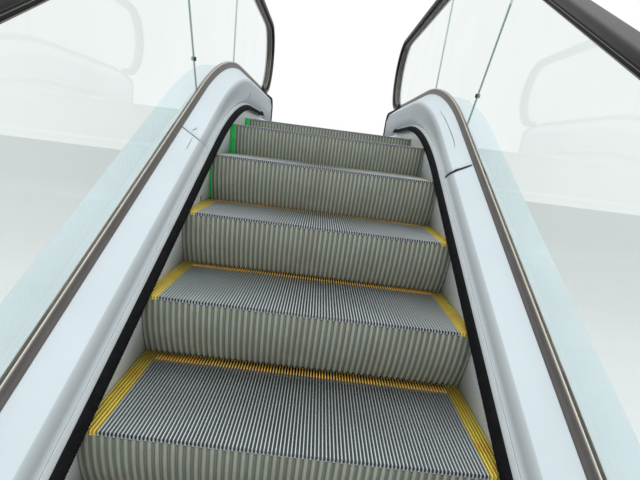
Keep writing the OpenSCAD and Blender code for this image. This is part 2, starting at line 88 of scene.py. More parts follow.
def run_line(hi, hl, hu, rl, ru, ya, yb, turns=24, bay=0.3, level=8):
    """A level run, a curve, the incline, a curve and a level run, from ya to yb.

    It lies hi over the noses on the incline, hl and hu over the treads of the landings, and
    its curves have the radii rl and ru. turns, bay and level set how close its points are."""
    yl = CORNER_LO + (hl - hi) / math.tan(INCLINE) - rl * math.tan(INCLINE / 2)
    yu = CORNER_UP + (hu - hi) / math.tan(INCLINE) + ru * math.tan(INCLINE / 2)
    zl, zu = LO + hl, UP + hu
    pts = [(ya + (yl - ya) * k / level, zl, 0.0) for k in range(level)]
    for k in range(turns + 1):
        t = INCLINE * k / turns
        pts.append((yl + rl * math.sin(t), zl + rl * (1 - math.cos(t)), t))
    y0, z0 = pts[-1][:2]
    y1, z1 = yu - ru * math.sin(INCLINE), zu - ru * (1 - math.cos(INCLINE))
    n = max(1, round((y1 - y0) / bay))
    pts += [(y0 + (y1 - y0) * k / n, z0 + (z1 - z0) * k / n, INCLINE) for k in range(1, n)]
    for k in range(turns, -1, -1):
        t = INCLINE * k / turns
        pts.append((yu - ru * math.sin(t), zu - ru * (1 - math.cos(t)), t))
    pts += [(yu + (yb - yu) * k / level, zu, 0.0) for k in range(1, level + 1)]
    return pts


def rail_loop(turns=32):
    """Middle line of the handrail from inlet to inlet, clockwise as seen from +X."""
    h, l = RAIL_RISE - RAIL_T / 2, RAIL_LAND - RAIL_T / 2
    zl, zu = LO + l - NEWEL_R, UP + l - NEWEL_R

    def newel(y, z, start):
        for k in range(turns + 1):
            t = math.radians(start - 180 * k / turns)
            yield y + NEWEL_R * math.cos(t), z + NEWEL_R * math.sin(t), t - math.pi / 2

    return [(NEWEL_LO + INLET, zl - NEWEL_R, math.pi), *newel(NEWEL_LO, zl, 270),
            *run_line(h, l, l, CURVE, CURVE, NEWEL_LO, NEWEL_UP)[1:-1],
            *newel(NEWEL_UP, zu, 90), (NEWEL_UP - INLET, zu - NEWEL_R, -math.pi)]


def off_line(at, side, x, h):
    """The point x out and h square to a line at (y, z, slope)."""
    y, z, t = at
    return Vector((side * x, y - h * math.sin(t), z + h * math.cos(t)))


def along(at, d):
    """A place on a line moved by d along its slope."""
    y, z, t = at
    return y + d * math.cos(t), z + d * math.sin(t), t


def stations(line):
    """Distances of the points of a line from its start."""
    out = [0.0]
    for p, q in zip(line, line[1:]):
        out.append(out[-1] + math.hypot(q[0] - p[0], q[1] - p[1]))
    return out


def index_at(marks, s):
    """Fractional index of the point at distance s, where marks are the stations of a line."""
    k = max(i for i in range(len(marks) - 1) if marks[i] <= s + 1e-9)
    return k + (s - marks[k]) / (marks[k + 1] - marks[k])


def point_at(line, i):
    """A line at a fractional index."""
    k = min(int(i), len(line) - 2)
    return tuple(u + (v - u) * (i - k) for u, v in zip(line[k], line[k + 1]))


# Meshes


def add(name, data):
    ob = bpy.data.objects.new(name, data)
    bpy.context.scene.collection.objects.link(ob)
    return ob


def place(ob, slot, *nodes):
    """Lets a piece ride on the fixed body, and stand for CAD nodes if any are named."""
    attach(ob, "root")
    if nodes:
        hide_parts(*nodes)


class Shape:
    """Collects solids into one mesh, with grime and painted shade for each point and a material for
    each face.
    """

    def __init__(self):
        self.verts, self.faces, self.dirt, self.index = [], [], [], []

    def rings(self, rings, closed=False, dirt=None, index=0):
        """Joins rings of points, each ring closed, one after the other.

        The darkening for grime and painted shade has a value for each point of a ring, or one such
        list for each ring."""
        base, n = len(self.verts), len(rings[0])
        for i, ring in enumerate(rings):
            self.verts += ring
            self.dirt += (dirt[i] if isinstance(dirt[0], list) else dirt) if dirt else [0.0] * n
        rows = len(rings)
        for i in range(rows if closed else rows - 1):
            a, b = base + i * n, base + (i + 1) % rows * n
            for j in range(n):
                k = (j + 1) % n
                self.faces.append((a + j, a + k, b + k, b + j))
                self.index.append(index)
        if not closed:
            self.faces.append(tuple(base + j for j in reversed(range(n))))
            self.faces.append(tuple(base + (rows - 1) * n + j for j in range(n)))
            self.index += [index, index]

    def sweep(self, profile, line, side, **more):
        """profile: (x, height) points, turned square to the line. side -1 mirrors it."""
        self.rings([[tuple(off_line(at, side, x, h)) for x, h in profile[::side]]
                    for at in line], **more)

    def block(self, outline, x0, x1, **more):
        """An outline in (y, z), extruded from x0 to x1."""
        self.rings([[(x, y, z) for y, z in outline] for x in (x0, x1)], **more)

    def done(self, name, *keys, smooth=30):
        """The object of the mesh, with its materials, shaded smooth up to an angle in degrees."""
        me = bpy.data.meshes.new(name)
        me.from_pydata(self.verts, [], self.faces)
        for key in keys:
            me.materials.append(M[key])
        me.attributes.new("dirt", "FLOAT", "POINT").data.foreach_set("value", self.dirt)
        me.polygons.foreach_set("material_index", self.index)
        me.validate()
        bm = bmesh.new()
        bm.from_mesh(me)
        bmesh.ops.recalc_face_normals(bm, faces=bm.faces)
        bm.to_mesh(me)
        bm.free()
        me.update()
        ob = add(name, me)
        me.shade_smooth()
        with bpy.context.temp_override(object=ob, active_object=ob, selected_objects=[ob]):
            bpy.ops.object.shade_smooth_by_angle(angle=math.radians(smooth))
        return ob


def arc(cx, cy, r, a0, a1, n):
    """n + 1 points of an arc from a0 to a1 degrees."""
    angles = (math.radians(a0 + (a1 - a0) * k / n) for k in range(n + 1))
    return [(cx + r * math.cos(a), cy + r * math.sin(a)) for a in angles]


def circle(n, r, cx=0.0, cy=0.0):
    angles = (2 * math.pi * k / n for k in range(n))
    return [(cx + r * math.cos(a), cy + r * math.sin(a)) for a in angles]


# Materials


class Nodes:
    """Small helper around the node tree of a material."""

    def __init__(self, name):
        self.mat = bpy.data.materials.new(name)
        self.mat.use_nodes = True
        self.tree = self.mat.node_tree
        self.bsdf = self.tree.nodes["Principled BSDF"]
        self.coord = self.new("TexCoord").outputs["Object"]

    def new(self, kind, **inputs):
        node = self.tree.nodes.new("ShaderNode" + kind)
        for key, value in inputs.items():
            self.put(node.inputs[key.replace("_", " ")], value)
        return node

    def put(self, socket, value):
        if isinstance(value, bpy.types.NodeSocket):
            self.tree.links.new(value, socket)
        else:
            socket.default_value = value

    def math(self, op, a, b, clamp=False):
        node = self.new("Math")
        node.operation = op
        node.use_clamp = clamp
        self.put(node.inputs[0], a)
        self.put(node.inputs[1], b)
        return node.outputs[0]

    def mix(self, a, b, fac):
        node = self.new("Mix")
        node.data_type = "RGBA"
        for i, v in ((0, fac), (6, a), (7, b)):
            self.put(node.inputs[i], (*v, 1) if isinstance(v, tuple) else v)
        return node.outputs[2]

    def noise(self, scale, detail=4, vector=None):
        return self.new("TexNoise", Vector=vector or self.coord, Scale=scale,
                        Detail=detail).outputs["Fac"]

    def spread(self, value, low, high, start=0.0, end=1.0):
        node = self.new("MapRange", Value=value)
        for i, v in enumerate((start, end, low, high)):
            node.inputs[i + 1].default_value = v
        return node.outputs["Result"]

    def attribute(self, name):
        node = self.new("Attribute")
        node.attribute_name = name
        return node.outputs["Fac"]

    def normal(self, axis):
        sep = self.new("SeparateXYZ")
        self.put(sep.inputs[0], self.new("NewGeometry").outputs["Normal"])
        return sep.outputs[axis]


def material(name, color, rough=0.5, metal=0.0, tint=0.06, scale=6.0, bump=0.05, grain=(1, 1, 1),
             grain_scale=300.0, dirt=None, dirt_color=(0.02, 0.02, 0.02), rough_vary=0.1,
             dust=0.0, dust_color=(0.5, 0.48, 0.44), smear=0.0, ribs=0.0, patch=None, **sockets):
    """Principled surface: a slow change of colour, patches of a second colour, soft smears,
    the darkening of the mesh's attribute for grime and painted shade, dust on faces that look up,
    a fine grain in the bump and the roughness, and ribs at a pitch with painted shade in their
    grooves."""
    n = Nodes(name)
    ramp = n.new("ValToRGB", Fac=n.noise(scale, 6))
    for e, k, at in zip(ramp.color_ramp.elements, (1 - tint, 1 + tint), (0.3, 0.7)):
        e.color = (*[min(1, c * k) for c in color], 1)
        e.position = at
    out = ramp.outputs["Color"]
    if patch:
        out = n.mix(out, patch, n.spread(n.noise(scale * 2.3, 5), 0, 1, 0.48, 0.62))
    if dirt:
        out = n.mix(out, dirt_color, n.math("MULTIPLY", n.attribute("dirt"), dirt, True))
    if smear:
        soft = n.spread(n.noise(scale * 0.8, 7), 0, smear, 0.45, 0.8)
        out = n.mix(out, tuple(0.45 * c for c in color), soft)
    if dust:
        up = n.math("MULTIPLY", n.normal("Z"), n.noise(35, 8), True)
        out = n.mix(out, dust_color, n.math("MULTIPLY", up, dust, True))
    n.put(n.bsdf.inputs["Base Color"], out)

    stretched = n.new("Mapping", Vector=n.coord, Scale=grain).outputs["Vector"]
    fine = n.noise(grain_scale, 4, stretched)
    n.put(n.bsdf.inputs["Roughness"],
          n.spread(fine, max(0.02, rough - rough_vary), min(1.0, rough + rough_vary)))
    height = fine
    if ribs:
        wave = n.new("TexWave", Vector=n.coord, Scale=2 * math.pi / (20 * ribs))
        wave.bands_direction = "X"
        height = n.math("MULTIPLY_ADD", fine, 0.1)
        n.put(height.node.inputs[2], n.spread(wave.outputs["Fac"], 0, 1, 0.25, 0.6))
        # painted shade in the grooves between the bumped ribs
        groove_shade = n.spread(wave.outputs["Fac"], 0.65, 0, 0.2, 0.55)
        n.put(n.bsdf.inputs["Base Color"], n.mix(out, dirt_color, groove_shade))
    if bump:
        b = n.new("Bump", Strength=bump, Distance=0.001, Height=height)
        n.put(n.bsdf.inputs["Normal"], b.outputs["Normal"])
    n.bsdf.inputs["Metallic"].default_value = metal
    for key, value in sockets.items():
        n.bsdf.inputs[key.replace("_", " ")].default_value = value
    return n.mat


def glass_material():
    """Clear sheet: mirrors more at a flat angle, faint smears, pale green edges."""
    n = Nodes("clear_glass")
    flat = n.math("GREATER_THAN", n.math("ABSOLUTE", n.normal("X"), 0), 0.5)
    through = n.new("BsdfTransparent")
    n.put(through.inputs["Color"], n.mix((0.62, 0.76, 0.7), (0.935, 0.962, 0.955), flat))
    mirror = n.new("BsdfAnisotropic", Roughness=0.03)
    mirror.inputs["Color"].default_value = (0.97, 0.99, 1.0, 1)
    film = n.new("BsdfDiffuse")
    film.inputs["Color"].default_value = (0.62, 0.68, 0.66, 1)
    front = n.math("SUBTRACT", 1.0, n.new("NewGeometry").outputs["Backfacing"])
    gloss = n.math("MULTIPLY", n.new("Fresnel", IOR=1.5).outputs["Fac"], front, True)
    shiny = n.new("MixShader", Fac=gloss)
    n.put(shiny.inputs[1], through.outputs[0])
    n.put(shiny.inputs[2], mirror.outputs[0])
    haze = n.math("MULTIPLY", n.spread(n.noise(3, 6), 0.02, 0.09, 0.35, 0.75), front)
    smeared = n.new("MixShader", Fac=haze)
    n.put(smeared.inputs[1], shiny.outputs[0])
    n.put(smeared.inputs[2], film.outputs[0])
    n.put(n.tree.nodes["Material Output"].inputs["Surface"], smeared.outputs[0])
    n.tree.nodes.remove(n.bsdf)
    return n.mat


# Each takes its colour, roughness, metal, change of tint, the scale of that, and its bump
M = {
    "riser": material("cast_riser", (0.285, 0.312, 0.262), 0.55, 0.1, 0.1, 7, 0.2, dirt=0.75,
                      dirt_color=(0.06, 0.066, 0.05), grain_scale=600, smear=0.3,
                      patch=(0.282, 0.288, 0.232)),
    "tread": material("cast_tread", (0.41, 0.45, 0.465), 0.5, 0.2, 0.08, 7, 0.2, dirt=0.95,
                      dirt_color=(0.05, 0.056, 0.048), grain_scale=600, smear=0.25),
    "frame": material("cast_frame", (0.36, 0.37, 0.38), 0.6, 0.5, 0.1, 5, 0.3),
    "yellow": material("yellow_paint", (0.76, 0.6, 0.085), 0.5, 0.0, 0.1, 9, 0.2, dirt=0.75,
                       dirt_color=(0.14, 0.11, 0.03), grain_scale=500, smear=0.25,
                       patch=(0.72, 0.46, 0.06)),
    "orange": material("orange_paint", (0.6, 0.33, 0.04), 0.5, 0.0, 0.15, 9, 0.2, dirt=1.0,
                       dirt_color=(0.035, 0.026, 0.012), grain_scale=500, smear=0.5,
                       patch=(0.42, 0.3, 0.08)),
    "olive": material("worn_paint", (0.36, 0.35, 0.16), 0.5, 0.1, 0.15, 9, 0.2, dirt=1.0,
                      dirt_color=(0.05, 0.05, 0.03), grain_scale=500, smear=0.4,
                      patch=(0.33, 0.36, 0.33)),
    # green light from under the steps at the landings, painted on flat strips
    "green": material("painted_green_light", (0.006, 0.52, 0.085), 0.4, 0.0, 0.12, 20, 0.1, smear=0.5),
    "skirt": material("skirt_sheet", (0.9, 0.96, 1.0), 0.42, 0.0, 0.04, 7, 0.05,
                      grain=(1, 0.05, 0.05), grain_scale=260, dirt=0.5,
                      dirt_color=(0.3, 0.31, 0.33), smear=0.25),
    # its dark second colour is painted shade on the steep faces of the inner decks
    "deck": material("deck_sheet", (0.55, 0.61, 0.635), 0.56, 0.0, 0.03, 2.5, 0.03,
                     grain=(1, 0.06, 0.06), grain_scale=240, dirt=1.0,
                     dirt_color=(0.255, 0.272, 0.278), smear=0.08, rough_vary=0.05,
                     Specular_IOR_Level=0.22),
    "brush": material("brush_bristle", (0.006, 0.006, 0.007), 0.9, 0.0, 0.3, 40, 0.1,
                      Specular_IOR_Level=0.1),
    "holder": material("brush_holder", (0.36, 0.385, 0.39), 0.75, 0.0, 0.06, 12, 0.05,
                       Specular_IOR_Level=0.1),
    "rubber": material("handrail_rubber", (0.011, 0.01, 0.01), 0.45, 0.0, 0.2, 12, 0.08,
                       smear=0.3, Specular_IOR_Level=0.4),
    "gasket": material("gasket_rubber", (0.105, 0.095, 0.09), 0.55, 0.0, 0.12, 12, 0.15),
    "bead": material("bead_profile", (0.55, 0.5, 0.42), 0.4, 0.4, 0.06, 10, 0.05),
    "guide": material("guide_metal", (0.42, 0.39, 0.33), 0.4, 0.3, 0.06, 10, 0.05),
    "dark": material("dark_rubber_and_shade", (0.014, 0.014, 0.015), 0.7, 0.0, 0.2, 30, 0.1),
    "plate": material("floor_plate", (0.4, 0.41, 0.42), 0.45, 0.5, 0.06, 5, 0.6, dust=0.3,
                      ribs=0.009, dirt_color=(0.1, 0.1, 0.1)),
    "comb": material("comb_cast", (0.5, 0.51, 0.52), 0.4, 0.5, 0.06, 12, 0.15, dirt=0.9,
                     dirt_color=(0.06, 0.06, 0.06)),
    "screw": material("screw_head", (0.2, 0.2, 0.21), 0.35, 0.8, 0.1, 20, 0.1),
    "casing": material("casing_paint", (0.22, 0.23, 0.25), 0.6, 0.1, 0.08, 3, 0.15, dust=0.4),
    "clad": material("clad_sheet", (0.52, 0.54, 0.55), 0.4, 0.45, 0.04, 1.5, 0.06,
                     grain=(0.05, 1, 0.04), grain_scale=200, smear=0.15),
    "bracket": material("bracket_paint", (0.12, 0.125, 0.135), 0.5, 0.1, 0.1, 8, 0.2, dust=0.3),
    "track": material("track_steel", (0.42, 0.42, 0.4), 0.4, 0.8, 0.1, 8, 0.1),
    "roller": material("roller_tyre", (0.03, 0.03, 0.032), 0.6, 0.0, 0.1, 10, 0.1),
    "scratch": material("scratch_line", (0.13, 0.15, 0.15), 0.6, 0.0, 0.2, 60, 0.1),
    "seam_light": material("seam_light", (0.6, 0.56, 0.47), 0.4, 0.0, 0.08, 12, 0.05),
    "glass": glass_material(),
}


for node, key in {
    "casing": "casing", "side_cladding": "clad", "soffit_panels": "clad",
    "bearing_bracket": "bracket", "guide_tracks": "track", "step_rollers": "roller",
    "floor_plates": "plate", "comb_plates": "plate", "outer_deck_left": "deck",
    "outer_deck_right": "deck", "deck_ends": "deck", "glass_left": "glass",
    "glass_right": "glass", "green_strips": "green",
}.items():
    slots = frame["nodes"][node].data.materials
    slots.clear()
    slots.append(M[key])


# Steps: y from the nose to the rear edge, z over the tread

RIBS, RIB_W = 111, 0.0032
RIB_PITCH = (STEP_W - RIB_W) / (RIBS - 1)
RIB_AT = [-STEP_W / 2 + RIB_W / 2 + k * RIB_PITCH for k in range(RIBS)]
GROOVE_Z = -GAP_H + 0.0006
RIB_FLANK = [(0.0022, GROOVE_Z, 1.0), (0.0018, -0.0030, 0.55), (0.0015, -0.0008, 0.1),
             (0.0010, 0.0, 0.0)]  # (x, z, grime and painted shade), darkest at the bottom of a groove
RIB = [(-x, z, d) for x, z, d in RIB_FLANK] + RIB_FLANK[::-1]
RIB_NOSE = ((0.0010, 0.0022), (0.0035, 0.0))  # (distance behind the nose, drop of the rib top)
NOSE_DARKENING = 0.58
NOTCH = [(0.0026, -0.0140), (0.0026, -0.0018), (0.0050, -0.0018), (0.0080, -0.0140)]
SLAB = [(0.0040, -GAP_H), (TREAD_D, -GAP_H), (TREAD_D, -0.028), (0.02, -0.028),
        (0.006, -0.0145), (0.0040, -0.0145)]
# the slab under the ribs is darker
SLAB_DARKENING = 0.6

# The riser, in depths under the tread and behind its face
RISER_TOP, RISER_BOTTOM, RISER_BAYS = 0.0108, 0.215, 12
RISER_BAND, BAND_SHADE = 0.0012, 1.6  # height and painted shade of a dark band along the top, in the joint under the tread
RISER_LIP, RISER_BACK = 0.0056, 0.024  # its back, at the top and below
# (x, depth, grime and painted shade) across a rib, darker in the grooves
RISER_RIB = ((-0.0068, 0.0048, 0.9), (-0.0056, 0.0034, 1.0), (-0.0048, 0.0012, 0.5),
             (-0.0030, 0.0002, 0.1), (0.0, 0.0, 0.0), (0.0030, 0.0002, 0.1),
             (0.0048, 0.0012, 0.4), (0.0056, 0.0034, 0.8), (0.0068, 0.0048, 0.7))

FRAME = [(0.030, -0.027), (0.060, -0.110), (0.085, -0.206), (0.117, -0.210), (0.220, -0.150),
         (0.323, -0.210), (0.353, -0.206), (0.370, -0.110), (0.380, -0.027)]
FRAME_X = (0.432, 0.448)
AXLES, AXLE_R = ((0.335, 0.447, 0.477), (LOWER_AXLE, 0.403, 0.433)), 0.01  # (y, from x, to x)

MARK_W = 0.045
INNER_RIBS = [c for c in RIB_AT if abs(c) < STEP_W / 2 - MARK_W]
MARK_LEFT, MARK_RIGHT = INNER_RIBS[0] - RIB_PITCH / 2, INNER_RIBS[-1] + RIB_PITCH / 2
BRIDGE = ((-0.0020, -GAP_H + 0.001), (-0.0012, 0.0), (0.0012, 0.0), (0.0020, -GAP_H + 0.001))
MESH_IN, MESH_OVER = 0.0056, 0.0036  # how far ribs reach over the gap to the next riser
OLIVE_FROM = 19  # the markings are worn to olive from this step up


def rib_ring(centres, left, right, y, drop=0.0):
    """Section of ribs and grooves at y, closed below inside the slab: points, and grime and painted
    shade.
    """
    section = [(x, -GAP_H - 0.001, 1.0) for x in (left, right)] + [(right, GROOVE_Z, 1.0)]
    section += [(min(max(c + x, left), right), max(GROOVE_Z, z - drop), d)
                for c in reversed(centres) for x, z, d in reversed(RIB)]
    section.append((left, GROOVE_Z, 1.0))
    return [(x, y, z) for x, z, _ in section], [d for _, _, d in section]


def ribbed(s, centres, left, right, ya, yb, nose, index):
    """Ribs from ya to yb, rounded and darker at the nose of the step."""
    ends = [(ya + y, drop) for y, drop in RIB_NOSE] if nose else [(ya, 0.0)]
    rings = [rib_ring(centres, left, right, y, drop) for y, drop in ends + [(yb, 0.0)]]
    dirt = [r[1] for r in rings]
    if nose:
        dirt[0] = [NOSE_DARKENING] * len(dirt[0])
    s.rings([r[0] for r in rings], dirt=dirt, index=index)


def riser_section():
    """Wide ribs with soft grooves between them, across a step: (x, depth, grime and painted shade).
    """
    w = STEP_W / 2
    section = [(c + x, d, dirt) for c in RIB_AT[::2] for x, d, dirt in RISER_RIB
               if -w <= c + x <= w]
    return [(-w, *section[0][1:])] + section + [(w, *section[-1][1:])]


def step_shape():
    """One step, with the indices of its materials: riser 0, tread 1, frame 2, dark 3."""
    s, w = Shape(), STEP_W / 2
    ribbed(s, INNER_RIBS, MARK_LEFT, MARK_RIGHT, 0, TREAD_D - MARK_W, True, 1)
    # a dark bar behind the ribs of the nose, painted shade in the open notches between them
    s.block(NOTCH, MARK_LEFT + 0.001, MARK_RIGHT - 0.001, index=3)
    s.block(SLAB, -w, w, index=1, dirt=[SLAB_DARKENING] * len(SLAB))
    # ribbed riser, an arc about the rear edge of the tread
    section = riser_section()
    first, top, last = (math.asin(z / TREAD_D)
                        for z in (RISER_TOP, RISER_TOP + RISER_BAND, RISER_BOTTOM))
    rings = []
    for a in [first] + [top + (last - top) * k / RISER_BAYS for k in range(RISER_BAYS + 1)]:
        back = RISER_LIP if a == first else RISER_BACK
        rings.append([(x, TREAD_D - (TREAD_D - d) * math.cos(a), -(TREAD_D - d) * math.sin(a))
                      for x, d in [e[:2] for e in section] + [(w, back), (-w, back)]])
    dirt = [e[2] for e in section] + [1.0, 1.0]
    # the top ring takes the painted shade of the joint under the tread
    s.rings(rings, dirt=[[BAND_SHADE] * len(dirt)] + [dirt] * (len(rings) - 1))
    for side in (-1, 1):
        s.block(FRAME, *sorted(side * x for x in FRAME_X), index=2)
        for y, *ends in AXLES:
            s.block(circle(16, AXLE_R, y, -AXLE_DROP), *sorted(side * x for x in ends), index=2)
    return s


def marking_shape():
    """Ribbed inserts: index 0 along the sides, index 1 along the rear edge."""
    s, w = Shape(), STEP_W / 2
    ribbed(s, INNER_RIBS, MARK_LEFT, MARK_RIGHT, TREAD_D - MARK_W, TREAD_D, False, 1)
    for k, c in enumerate(RIB_AT):
        reach = TREAD_D + (MESH_IN if k % 2 else MESH_OVER)
        s.rings([[(c + x, y, z) for x, z in BRIDGE] for y in (TREAD_D - 0.001, reach)],
                dirt=[1.0, 0.2, 0.2, 1.0], index=1 if c in INNER_RIBS else 0)
    ribbed(s, [c for c in RIB_AT if c < MARK_LEFT], -w, MARK_LEFT, 0, TREAD_D, True, 0)
    ribbed(s, [c for c in RIB_AT if c > MARK_RIGHT], MARK_RIGHT, w, 0, TREAD_D, True, 0)
    return s


def build_steps():
    """The steps share one mesh, and all their markings are one piece."""
    mesh, mark, marks = None, marking_shape(), Shape()
    cast = ("riser", "tread", "frame", "dark")
    for name in sorted(n for n in frame["nodes"] if n.startswith("step_") and n[5:].isdigit()):
        lo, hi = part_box(name)
        if mesh is None:
            ob = step_shape().done("cast_" + name, *cast, smooth=40)
            mesh = ob.data
        else:
            ob = add("cast_" + name, mesh)
        ob.location = (0, lo.y, hi.z)
        place(ob, "step", name)
        base = len(marks.verts)
        marks.verts += [(x, y + lo.y, z + hi.z) for x, y, z in mark.verts]
        marks.faces += [tuple(base + i for i in f) for f in mark.faces]
        marks.dirt += mark.dirt
        marks.index += [2 if int(name[5:]) >= OLIVE_FROM else i for i in mark.index]
    ob = marks.done("tread_markings", "yellow", "orange", "olive", smooth=40)
    place(ob, "marking", "step_markings")


# Combs and their screws: outlines in (distance from the comb line, height over the treads)

COMB_D, COMB_REACH, COMB_PARTS, COMB_SEAM = 0.06, 0.028, 5, 0.0006
PLATE_LOW, PLATE_TOP = 0.004, 0.028
COMB_BODY = [(-0.002, PLATE_LOW), (-0.002, 0.0075), (0.001, 0.0088),
             (COMB_D, PLATE_TOP - 0.0015), (COMB_D, PLATE_LOW)]
TOOTH = [(-COMB_REACH, -0.006), (-COMB_REACH, -0.0042), (-COMB_REACH + 0.002, -0.003),
         (-0.004, 0.0085), (0.003, 0.0105), (COMB_D - 0.003, PLATE_TOP), (COMB_D - 0.001, 0.024),
         (0.006, PLATE_LOW), (0, -0.006)]
TOOTH_SIDES = ((-0.0016, 0.0), (-0.0010, 0.0006), (0.0010, 0.0006), (0.0016, 0.0))  # (x, rise)
TOOTH_TIP, TIP_WIDTH = -0.02, 0.65  # teeth are narrower past this distance
SCREW = ((0.0062, -0.002), (0.0062, 0.0022), (0.0052, 0.0028), (0.0030, 0.0028),
         (0.0028, 0.0008))  # (radius, height)
SCREW_Y, SCREW_Z = 0.044, 0.0235


def build_combs():
    s = Shape()
    width = 2 * SKIRT_X / COMB_PARTS
    for y0, z0, d in ((0.0, LO, -1), (COMB_UP, UP, 1)):
        for k in range(COMB_PARTS):
            x0 = -SKIRT_X + k * width
            s.block([(y0 + d * y, z0 + z) for y, z in COMB_BODY], x0, x0 + width - COMB_SEAM,
                    dirt=[1, 0.6, 0.3, 0.1, 0.1])
            for x in (x0 + 0.25 * width, x0 + 0.75 * width):
                s.rings([[(x + u, y0 + d * (SCREW_Y + v), z0 + SCREW_Z + h)
                          for u, v in circle(12, r)] for r, h in SCREW], index=1)
        for x in (c + RIB_PITCH / 2 for c in RIB_AT[:-1]):
            rings = []
            for dx, rise in TOOTH_SIDES:
                rings.append([(x + dx * (TIP_WIDTH if y < TOOTH_TIP else 1.0), y0 + d * y,
                               z0 + z + (rise if z > -0.005 else 0) - 0.0006)
                              for y, z in TOOTH])
            s.rings(rings, dirt=[0.9, 0.6, 0.4, 0.1, 0, 0, 0.2, 0.5, 1])
    place(s.done("comb_teeth", "comb", "screw"), "comb", "combs")


# Inner decks and skirts

FACE_X, SHOULDER_R, DECK_T = TROUGH_X + 0.002, 0.016, 0.003
FACE_A, SLOPE_A = math.radians(75), math.radians(38)
SHOULDER_Z = -SHOULDER_R * math.cos(SLOPE_A)
SHOULDER_X = (FACE_X + SHOULDER_R * math.sin(FACE_A)
              + (WING + SHOULDER_Z + SHOULDER_R * math.cos(FACE_A)) / math.tan(FACE_A))
DECK_IN = RAIL_X - 0.015
DECK_TOP = (DECK_IN - SHOULDER_X + SHOULDER_R * math.sin(SLOPE_A)) * math.tan(SLOPE_A)
CORNER_X, CORNER_Z = 0.5275, -0.0022  # where the steep face and the top would meet
ROUND = 0.015  # length that the rounded shoulder takes of each of them
FACE_FOOT_X = SKIRT_X + 0.0005
# Knee of the face, where it passes in front of the casing: its place, how it moves out as it
# rises, its lowest place as a part of the face, and the length of its bend
KNEE_X, KNEE_Z, KNEE_SLOPE, KNEE_LOW, KNEE_BEND = 0.5068, -0.062, 0.4, 0.3, 0.03
FACE_POINTS = 12  # points of a section of the inner deck from its foot to mid-shoulder
# painted shade of the steep face: light at its foot by the brush, darkening up through the knee to
# the shoulder
FOOT_SHADE, KNEE_SHADE = 0.3, (0.45, 0.95)
LEVEL_TONE = 0.6  # painted shade of the face on the level runs, as a part of that on the incline
BRUSH_RISE, BRUSH_LAND, BRUSH_H, BRUSH_END, TAPER = 0.02, 0.06, 0.026, 0.27, 0.11
FOOT_DROP = 0.046  # the steep face reaches lower past the brushes
DECK_BAYS, DECK_LEAD, SPLIT = 3, 0.337, 0.0003  # sheets on the incline, and half a seam
SEAL_W = 0.0035
SEAL = [(0.536, CORNER_Z + 0.0072), (0.56, 0.0236), (DECK_IN - 0.001, DECK_TOP - 0.0008)]
SEAL_RING = ((-SEAL_W / 2, -0.001), (-SEAL_W / 2, 0.0006), (SEAL_W / 2, 0.0006),
             (SEAL_W / 2, -0.001))  # (along the deck, height)
SKIRT_END, SKIRT_LOW, SKIRT_PLAIN = FLOOR_Y - 0.02, RISER_BOTTOM + 0.025, 0.03

YA, YB = -DECK_Y, COMB_UP + DECK_Y
FINE = {"bay": 0.06, "level": 30}  # close stations, so that sheets that curve at other places meet


def ease(t):
    t = min(1.0, max(0.0, t))
    return t * t * (3 - 2 * t)


def foot_line(ya, yb, lift=0.001):
    """Foot of the steep face, just over the brush, lower past the ends of the brush."""
    rise, land = BRUSH_RISE + BRUSH_H / math.cos(INCLINE) + lift, BRUSH_LAND + BRUSH_H + lift
    out = []
    for y, z, t in run_line(rise, land, land, CURVE, CURVE, ya, yb, **FINE):
        past = max(y - (COMB_UP - BRUSH_END), BRUSH_END - y)
        out.append((y, z - FOOT_DROP * ease(past / TAPER), t))
    return out


deck_line = run_line(DECK_RISE, DECK_LAND, DECK_LAND, CURVE, CURVE, YA, YB, **FINE)
deck_marks = stations(deck_line)
deck_feet = foot_line(YA - 0.3, YB + 0.3)


def foot_height(at):
    """Height of the foot line in the section square to the deck line at (y, z, slope)."""
    y, z, t = at
    ahead = [(p[0] - y) * math.cos(t) + (p[1] - z) * math.sin(t) for p in deck_feet]
    k = next(i for i in range(len(ahead) - 1) if ahead[i] <= 0 < ahead[i + 1])
    fy, fz, _ = point_at(deck_feet, k + ahead[k] / (ahead[k] - ahead[k + 1]))
    return (fz - z) * math.cos(t) - (fy - y) * math.sin(t)


def towards(a, b, length, most):
    """The point at a length from a on the way to b, but at most that part of the way."""
    return a + (b - a) * min(length / (b - a).length, most)


def bent(a, b, c, n):
    """Points of a smooth bend from a to c, drawn towards b, with their place from 0 to 1."""
    return [(a * (1 - t) ** 2 + b * (2 * t * (1 - t)) + c * t * t, t)
            for t in (k / (n - 1) for k in range(n))]


